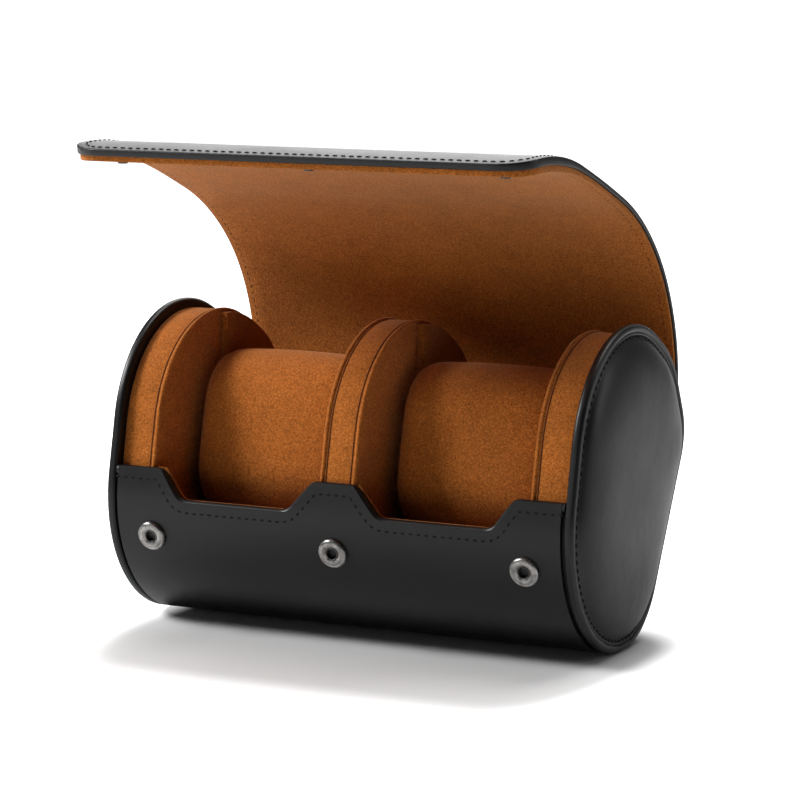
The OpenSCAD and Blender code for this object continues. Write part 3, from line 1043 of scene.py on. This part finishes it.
def wall_sheet(inset, half, top, step):
    """The wall from the front edge under the belly to the back fold, as one swept sheet."""
    a = on_circle(BELLY, N_TOP_BELLY, inset)
    t = math.radians(N_TOP_BELLY)
    rise = (a[1] - top) / math.cos(t)
    start = (a[0] + math.sin(t) * rise, a[1] - math.cos(t) * rise)
    sheet = one_edge(half, *start, divisions=48)
    run_on(start, a)
    spin_about(BELLY, BELLY_END - N_TOP_BELLY, 0, step)
    run_on(on_circle(BELLY, BELLY_END, inset), on_circle(HEEL, HEEL_START, inset))
    spin_about(HEEL, N_HEEL_BACK - HEEL_START, 0, step)
    run_on(on_circle(HEEL, N_HEEL_BACK, inset), on_circle(BACK, N_HEEL_BACK, inset), 6)
    merge_doubles()
    face_outwards()
    return sheet


def cut_scoops(obj, grow):
    """Cuts the two scoops out of the front edge, wider and deeper by grow."""
    top = 0.058
    bottom = SCOOP_H - grow
    for side in (-1, 1):
        deselect()
        x0, x1 = side * (SCOOP[1][0] - grow), side * (SCOOP[2][0] + grow)
        bpy.ops.mesh.primitive_cube_add(size=1.0, location=((x0 + x1) / 2, -0.045, (bottom + top) / 2))
        cutter = bpy.context.object
        cutter.scale = (abs(x1 - x0), 0.04, top - bottom)
        settle(cutter)
        edit(cutter)
        # the slanted ends open by the scoop's own slope, carried up to the cutter's top
        lean = side * (top - bottom) / (FRONT_H - SCOOP_H)
        for x, open_by in ((x0, SCOOP[0][0] - SCOOP[1][0]), (x1, SCOOP[3][0] - SCOOP[2][0])):
            pick(cutter, "VERT", lambda v, item: v.z > FRONT_H and abs(v.x - x) < 0.001)
            bpy.ops.transform.translate(value=(open_by * lean, 0, 0))
        pick(cutter, "EDGE", lambda m, e: m.z < 0.047 and abs(e.verts[0].co.x - e.verts[1].co.x) < 0.0005)
        bpy.ops.mesh.bevel(offset=0.002, segments=4)
        leave()
        modify(obj, "BOOLEAN", operation="DIFFERENCE", solver="EXACT", object=cutter)
        bpy.data.objects.remove(cutter)


class CASE_OT_wall(bpy.types.Operator):
    """The leather wall of the front, belly and back, its lining, rolled edge and seam"""

    bl_idname = "travel_case.wall"
    bl_label = "Wall"

    def execute(self, context):
        s = sizes()
        half = RIM_IN - 0.0001
        self.layer("Wall_leather", "leather", "shell_leather", 0.0, s.leather, 0.0006, half - 0.0009, 2.5)
        self.layer("Wall_core", "leather", "shell_board", CORE_DEPTH, CORE_T, 0.0022, half)
        self.layer("Wall_lining", "suede_dark", "shell_lining", LINING_DEPTH, s.lining, 0.0004, half)
        roll = points_of(front_path(0.0017, ROLL_R, EDGE_STEP, half))
        cord_along(roll, ROLL_R, "Front_roll", "leather", sides=4)
        edge = points_of(front_path(0.0010, 0.0043, EDGE_STEP, half))
        cord_along(edge, LINING_EDGE_R, "Front_lining_edge", "suede")
        seam = front_path(s.seam_in + 0.0010, 0.0, s.pitch, half - 0.001)
        sew(seam, "Front_seam", "thread", FRONT_THREAD, sink=0.00012)
        return {"FINISHED"}

    def layer(self, name, finish, node, depth, thickness, back, half, step=3.0):
        """One layer of the wall, set back from the front edge and its scoops."""
        sheet = wall_sheet(depth, half, FRONT_H - back, step)
        thicken(sheet, thickness)
        cut_scoops(sheet, back)
        dress(sheet, name, finish)
        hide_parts(node)


class CASE_OT_cradles(bpy.types.Operator):
    """The suede saddles that the cushions sit in"""

    bl_idname = "travel_case.cradles"
    bl_label = "Saddles"

    def execute(self, context):
        for word in ("left", "right"):
            node = f"{word}_cradle"
            block = copy_of(frame["nodes"][node], "saddle")
            block.hide_render = block.hide_viewport = False
            block.parent = None
            block.matrix_world = Matrix.Identity(4)
            for key in list(block.keys()):
                del block[key]
            edit(block)
            merge_doubles()
            bpy.ops.mesh.dissolve_limited(angle_limit=math.radians(1))
            leave()
            soften(block, 0.0006, 2, 50)
            dress(block, f"Saddle_{word}", "suede_dark")
            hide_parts(node)
        return {"FINISHED"}


def cushion_roll(width):
    """A crowned roll: a cube rounded along X and drawn in at its sides, with a swell in each end."""
    deselect()
    bpy.ops.mesh.primitive_cube_add(size=1.0, location=(0, 0, 0))
    roll = bpy.context.object
    roll.scale = (width, CUSHION_DEPTH, CUSHION_HEIGHT)
    settle(roll)
    edit(roll)
    pick(roll, "EDGE", lambda m, e: abs(e.verts[0].co.x - e.verts[1].co.x) > width * 0.9)
    bpy.ops.mesh.bevel(offset=CUSHION_ROUND, segments=7)
    leave()
    edit(roll)
    for share in (-0.86, -0.66, -0.4, -0.14, 0.14, 0.4, 0.66, 0.86):
        select_all()
        bpy.ops.mesh.bisect(plane_co=(share * width / 2, 0, 0), plane_no=(1, 0, 0))
    # the ends: an inset panel that swells a little inside its seam
    for end in (-1, 1):
        pick(roll, "FACE", lambda m, f: m.x * end > width * 0.49)
        for thickness, swell in ((0.0022, 0.0), (0.006, 0.0006), (0.008, 0.0003)):
            bpy.ops.mesh.inset(thickness=thickness, depth=swell)
    leave()
    for v in roll.data.vertices:
        t = abs(v.co.x) / (width / 2)
        k = 0.915
        if t < 0.999:
            k = 1.0 - 0.030 * t * t - 0.075 * max(0.0, (t - 0.84) / 0.16) ** 2
        v.co.y *= k
        v.co.z *= k
    modify(roll, "SUBSURF", levels=2, render_levels=2)
    return roll


def puffed(obj, frames=14, most=0.0009):
    """Lets the stuffing swell the cover: pressure cloth for a few frames, then applied."""
    rest = [v.co.copy() for v in obj.data.vertices]
    choose(obj)
    bpy.ops.object.modifier_add(type="CLOTH")
    cloth = obj.modifiers[-1]
    cloth.settings.quality = 6
    cloth.settings.mass = 0.2
    cloth.settings.use_pressure = True
    cloth.settings.uniform_pressure_force = 3.0
    cloth.settings.tension_stiffness = cloth.settings.compression_stiffness = 40
    cloth.settings.bending_stiffness = 4
    cloth.settings.effector_weights.gravity = 0
    cloth.collision_settings.use_collision = False
    cloth.point_cache.frame_start, cloth.point_cache.frame_end = 1, frames
    for number in range(1, frames + 1):
        bpy.context.scene.frame_set(number)
    bpy.ops.object.modifier_apply(modifier=cloth.name)
    bpy.context.scene.frame_set(1)
    for v, was in zip(obj.data.vertices, rest):
        move = v.co - was
        if move.length > most:
            v.co = was + move.normalized() * most


def end_loop(x, half_y, half_z, r, count=72):
    """Points round a cushion's end: a rounded rectangle at x, by the direction of each point."""
    loop = []
    for i in range(count):
        a = 2 * math.pi * i / count
        c, s = math.cos(a), math.sin(a)
        y = math.copysign(half_y - r, c) * min(1, abs(c) * 6) + r * c
        z = math.copysign(half_z - r, s) * min(1, abs(s) * 6) + r * s
        loop.append(Vector((x, y, z)))
    return loop


class CASE_OT_cushions(bpy.types.Operator):
    """The two lift-out suede watch cushions"""

    bl_idname = "travel_case.cushions"
    bl_label = "Watch cushions"

    def execute(self, context):
        width = sizes().cushion - 0.0024
        roll = cushion_roll(width)
        puffed(roll)
        loops = [end_loop(end * (width / 2 - 0.0004), 0.0205, 0.0265, 0.0175) for end in (-1, 1)]
        lean = Matrix.Rotation(-math.radians(CUSHION_LEAN), 4, "X")
        for side, word in ((-1, "left"), (1, "right")):
            shift = Matrix.Translation((side * BAY_MID, *CUSHION_MID)) @ lean
            body = f"{word}_cushion"
            cover = copy_of(roll, word)
            cover.data.transform(shift)
            dress(cover, f"Cushion_{word}", "suede", body, 60)
            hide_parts(f"{body}_cover", f"{body}_core")
            for k, loop in enumerate(loops):
                welt = [shift @ p for p in loop]
                cord_along(welt, WELT_R, f"Cushion_{word}_welt_{k}", "suede_dark", body, closed=True)
        bpy.data.objects.remove(roll)
        return {"FINISHED"}


# ------------------------------------------------------------------- the hood


def hood_arcs():
    """The rest shape's arcs: (centre, heading, turn, length)."""
    found = []
    (y, z), heading = HOOD_START, HOOD_HEADING
    for ny, nz in HOOD_FOLDS:
        chord = math.hypot(ny - y, nz - z)
        aim = math.degrees(math.atan2(nz - z, ny - y)) % 360
        turn = 2 * (aim - heading)
        radius = chord / 2 / math.sin(math.radians(turn / 2))
        h = math.radians(heading)
        centre = (y - radius * math.sin(h), z + radius * math.cos(h))
        found.append((centre, heading, turn, radius * math.radians(turn)))
        y, z, heading = ny, nz, heading + turn
    return found


HOOD_ARCS = hood_arcs()
# Lengths from the hood's start to each fold, and to its front edge
FOLD_LENGTHS = [sum(arc[3] for arc in HOOD_ARCS[:k + 1]) for k in range(len(HOOD_ARCS))]
HOOD_LEN = FOLD_LENGTHS[-1]
# Lengths at which one fold's piece ends and the next one's starts
HOOD_SPLITS = [(a + b) / 2 for a, b in zip([0.0] + FOLD_LENGTHS, FOLD_LENGTHS[:4])]


def hood_at(s, inset=0.0):
    """Point, heading and normal on the hood at length s from its start."""
    for centre, heading, turn, length in HOOD_ARCS:
        if s <= length:
            break
        s -= length
    else:
        # past the front edge the last arc runs on
        s += length
    h = math.radians(heading + turn * s / length)
    radius = length / math.radians(turn) - inset
    point = Vector((0, centre[0] + radius * math.sin(h), centre[1] - radius * math.cos(h)))
    return point, Vector((0, math.cos(h), math.sin(h))), Vector((0, math.sin(h), -math.cos(h)))


def hood_spot(y, z):
    """Length along the hood and depth below its outer face of a point in its wall."""
    dy, dz = y - BACK[0], z - BACK[1]
    angle = math.degrees(math.atan2(dz, dy))
    # on the back's arc, before the hood's start, lengths are below zero
    if N_HEEL_BACK - 3 < angle < HOOD_FROM and math.hypot(dy, dz) > BACK[2] * 0.5:
        return -math.radians(HOOD_FROM - angle) * BACK[2], BACK[2] - math.hypot(dy, dz)
    total, best = 0.0, None
    for centre, heading, turn, length in HOOD_ARCS:
        vy, vz = y - centre[0], z - centre[1]
        share = ((math.degrees(math.atan2(vy, -vz)) - heading + 180) % 360 - 180) / turn
        off = max(0.0, -share, share - 1)
        if best is None or off < best[0]:
            best = (off, total + share * length, length / math.radians(turn) - math.hypot(vy, vz))
        total += length
    return best[1], best[2]


def wall_share(s):
    """How thick the hood is at length s, as a share of the thickness that its sheets are given."""
    rise = min(1, max(0, (s - FOLD_LENGTHS[3] + 0.013) / 0.033))
    fall = min(1, max(0, (s - HOOD_LEN + 0.006) / 0.006))
    full = OVER_PADS + (AT_FLAP - OVER_PADS) * rise * rise * (3 - 2 * rise)
    return full - EDGE_THINNING * fall * fall


def thinned(obj):
    """Draws the hood's wall in where it lies over the pads, and towards its front edge."""
    for v in obj.data.vertices:
        s, depth = hood_spot(v.co.y, v.co.z)
        if s < 0:
            a = math.atan2(v.co.z - BACK[1], v.co.y - BACK[0])
            r = BACK[2] - depth * wall_share(s)
            v.co.y, v.co.z = BACK[0] + r * math.cos(a), BACK[1] + r * math.sin(a)
            continue
        spot = hood_at(s, depth * wall_share(s))[0]
        v.co.y, v.co.z = spot.y, spot.z


def hood_sheet(inset, half, tail, step=1.6):
    """The hood's sheet at rest, from the back fold to tail short of its front edge, below the outer face."""
    sheet = one_edge(half, *on_circle(BACK, N_HEEL_BACK, inset), divisions=24)
    spin_about(BACK, HOOD_FROM - N_HEEL_BACK, 0, step)
    for k, (centre, heading, turn, length) in enumerate(HOOD_ARCS):
        if k == 4:
            turn *= 1 - tail / length
        spin_about(centre, turn, 0, step if k < 3 else step * 0.5)
    merge_doubles()
    leave()
    return sheet


def trim_corners(obj, half, tail, radius, cuts=8):
    """Rounds the flap's two front corners."""
    edge, along, out = hood_at(HOOD_LEN - tail)
    edit(obj)
    for side in (-1, 1):
        centre = Vector((side * (half - radius), 0, 0)) + edge - along * radius
        for k in range(cuts):
            a = math.radians(90 * (k + 0.5) / cuts)
            away = Vector((side * math.cos(a), 0, 0)) + along * math.sin(a)
            select_all()
            bpy.ops.mesh.bisect(plane_co=centre + away * radius, plane_no=away, clear_outer=True)
    leave()


def face_hood_out(obj):
    """Turns an open sheet's faces away from the inside of the hood."""
    edit(obj)
    face_outwards()
    inside = Vector((0, -0.01, 0.07))
    total = sum((f.center - inside).normalized().dot(f.normal) * f.area for f in obj.data.polygons)
    if total < 0:
        edit(obj)
        select_all()
        bpy.ops.mesh.flip_normals()
        leave()


def hood_layer(inset, side_in, tail, corner, thickness):
    """One layer of the hood at rest: swept, trimmed, given its wall and thinned."""
    half = HOOD_X - side_in
    sheet = hood_sheet(inset, half, tail)
    trim_corners(sheet, half, tail, corner)
    face_hood_out(sheet)
    thicken(sheet, thickness)
    thinned(sheet)
    return sheet


def bend(obj, k):
    """Bakes a hood piece's place into its mesh; the points on either side of fold k are worked out and not
    used.
    """
    p, along, out = hood_at(([HOOD_HINGE] + FOLD_LENGTHS)[k])
    reach = 0.007 if k == 0 else 0.0135
    tuple(p - along * reach)
    tuple(p + along * reach)
    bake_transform(obj)


def hood_pieces(whole, name, finish, layers):
    """Splits a layer of the hood between its folds and bakes each piece's place into its mesh."""
    for k, section in enumerate(SECTIONS):
        piece = copy_of(whole, f"{name}_{k}")
        edit(piece)
        for at, waste in ((k - 1, "clear_inner"), (k, "clear_outer")):
            if 0 <= at < len(HOOD_SPLITS):
                p, along, out = hood_at(HOOD_SPLITS[at])
                select_all()
                bpy.ops.mesh.bisect(plane_co=p, plane_no=along, **{waste: True})
        leave()
        dress(piece, f"{name}_{k}", finish, None, 40)
        bend(piece, k)
        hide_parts(*[f"{section}_{layer}" for layer in layers])
    bpy.data.objects.remove(whole)


class CASE_OT_hood(bpy.types.Operator):
    """The hood: one skin of leather over a suede lining, split into pieces at its folds"""

    bl_idname = "travel_case.hood"
    bl_label = "Hood"

    def execute(self, context):
        leather = hood_layer(0.0001, 0.0, 0.0, CORNER, HOOD_LEATHER_T)
        soften(leather, 0.0006, 3, 55)
        hood_pieces(leather, "Hood_leather", "leather", ("leather", "board"))
        lining = hood_layer(HOOD_LINING_DEPTH, HOOD_LINING_IN, 0.0010, CORNER - 0.0008, HOOD_LINING_T)
        soften(lining, 0.0004, 2, 55)
        hood_pieces(lining, "Hood_lining", "suede", ("lining",))
        self.seam("outer", "thread", lambda s: -0.0001, 1)
        self.seam("inner", "brown", lambda s: 0.00485 * wall_share(s), -1)
        return {"FINISHED"}

    def seam_places(self):
        """Stitches up both sides, round both corners and along the front: (x, length, turn)."""
        s = sizes()
        first = 0.004
        straight = HOOD_LEN - CORNER - first
        wide = HOOD_X - CORNER
        r = CORNER - s.seam_in
        ups, turns = round(straight / s.pitch), round(math.pi / 2 * r / s.pitch)
        across = round(2 * wide / s.pitch)
        rows = []
        for side in (-1, 1):
            for i in range(ups + 1):
                rows.append((side * (HOOD_X - s.seam_in), first + straight * i / ups, 0.0))
            for i in range(1, turns):
                a = math.pi / 2 * i / turns
                x, length = wide + r * math.cos(a), HOOD_LEN - CORNER + r * math.sin(a)
                rows.append((side * x, length, -side * a))
        for i in range(across + 1):
            rows.append((-wide + 2 * wide * i / across, HOOD_LEN - s.seam_in, math.pi / 2))
        return rows

    def seam(self, word, finish, depth_at, sign):
        """The stitches of one face, outer or inner, as a row for each of the hood's pieces."""
        groups = {k: [] for k in range(len(SECTIONS))}
        for x, length, turn in self.seam_places():
            p, along, out = hood_at(length, depth_at(length))
            k = sum(1 for split in HOOD_SPLITS if length > split)
            way = along * math.cos(turn) + Vector((1, 0, 0)) * math.sin(turn)
            groups[k].append((p + Vector((x, 0, 0)), way, out * sign))
        for k, places in groups.items():
            bend(sew(places, f"Hood_seam_{word}_{k}", finish, HOOD_THREAD, None), k)


# ------------------------------------------------------------------- the snaps


def at_snaps(pattern, name, lift=0.0):
    """Copies a pattern to the three snaps, lift above their seats, as one piece."""
    turn = Matrix.Rotation(math.radians(SNAP_N - 90), 4, "X") @ Matrix.Translation((0, 0, lift))
    parts = []
    for x in SNAP_X:
        twin = copy_of(pattern, name)
        twin.data.transform(Matrix.Translation((x, SNAP_Y, SNAP_Z)) @ turn)
        parts.append(twin)
    bpy.data.objects.remove(pattern)
    return joined(parts, name)


class CASE_OT_snaps(bpy.types.Operator):
    """Ring-spring snap sockets with their bare rims"""

    bl_idname = "travel_case.snaps"
    bl_label = "Snaps"

    # Radius and height of the socket's ring, from its bore over its rolled lip to its rim
    PROFILE = (
        (0.0022, 0.0002), (0.0022, 0.00112), (0.00245, 0.00128), (0.0028, 0.0015),
        (0.0031, 0.00158), (0.0037, 0.0015), (0.0041, 0.0013), (0.0044, 0.00138),
        (0.0047, 0.0012), (0.0049, 0.0009), (0.0050, 0.0005), (0.0050, 0.0), (0.0022, 0.0),
    )

    def execute(self, context):
        (r, z), *others = self.PROFILE
        ring = one_vertex(r, 0, z)
        for next_r, next_z in others:
            extrude(next_r - r, 0, next_z - z)
            r, z = next_r, next_z
        select_all()
        bpy.ops.mesh.spin(steps=48, angle=2 * math.pi, center=(0, 0, 0), axis=(0, 0, 1))
        merge_doubles()
        face_outwards()
        rings = dress(at_snaps(ring, "Snap_rings"), "Snap_rings", "metal", angle=30)
        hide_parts("snap_sockets")
        deselect()
        bpy.ops.mesh.primitive_torus_add(
            major_radius=0.00195, minor_radius=0.0002, major_segments=40, minor_segments=8)
        dress(at_snaps(context.object, "Snap_wires", 0.0011), "Snap_wires", "spring", angle=60)
        return {"FINISHED"}


class CASE_OT_hardware(bpy.types.Operator):
    """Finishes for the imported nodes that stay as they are"""

    bl_idname = "travel_case.hardware"
    bl_label = "Boards, posts and studs"

    KEPT = {
        "left_cap_board": "board", "right_cap_board": "board", "snap_springs": "spring",
        "snap_posts": "stud", "flap_studs": "stud", "flap_rivets": "metal",
    }

    def execute(self, context):
        for node, finish in self.KEPT.items():
            materials = frame["nodes"][node].data.materials
            materials.clear()
            materials.append(FINISHES[finish])
        return {"FINISHED"}


class CASE_PT_panel(bpy.types.Panel):
    """Lists the steps that build the travel case"""

    bl_idname = "CASE_PT_panel"
    bl_label = "Travel case"
    bl_space_type = "VIEW_3D"
    bl_region_type = "UI"
    bl_category = "Travel case"

    def draw(self, context):
        column = self.layout.column(align=True)
        for step in STEPS:
            column.operator(step.bl_idname)
        for group in (sizes(), colours()):
            box = self.layout.box()
            for name in group.__annotations__:
                box.prop(group, name)


STEPS = (
    CASE_OT_stage, CASE_OT_rims, CASE_OT_end_leather, CASE_OT_pads, CASE_OT_guides, CASE_OT_wall,
    CASE_OT_cradles, CASE_OT_cushions, CASE_OT_hood, CASE_OT_snaps, CASE_OT_hardware,
)
CLASSES = (CaseSizes, CaseColours) + STEPS + (CASE_PT_panel,)


def register():
    for cls in CLASSES:
        bpy.utils.register_class(cls)
    bpy.types.Scene.case_sizes = PointerProperty(type=CaseSizes)
    bpy.types.Scene.case_colours = PointerProperty(type=CaseColours)


def unregister():
    del bpy.types.Scene.case_colours
    del bpy.types.Scene.case_sizes
    for cls in reversed(CLASSES):
        bpy.utils.unregister_class(cls)


def main():
    """Builds the case piece by piece."""
    register()
    make_finishes()
    bpy.ops.travel_case.stage()
    bpy.ops.travel_case.rims()
    bpy.ops.travel_case.end_leather()
    bpy.ops.travel_case.pads()
    bpy.ops.travel_case.guides()
    bpy.ops.travel_case.wall()
    bpy.ops.travel_case.cradles()
    bpy.ops.travel_case.cushions()
    bpy.ops.travel_case.hood()
    bpy.ops.travel_case.snaps()
    bpy.ops.travel_case.hardware()


if __name__ == "__main__":
    main()
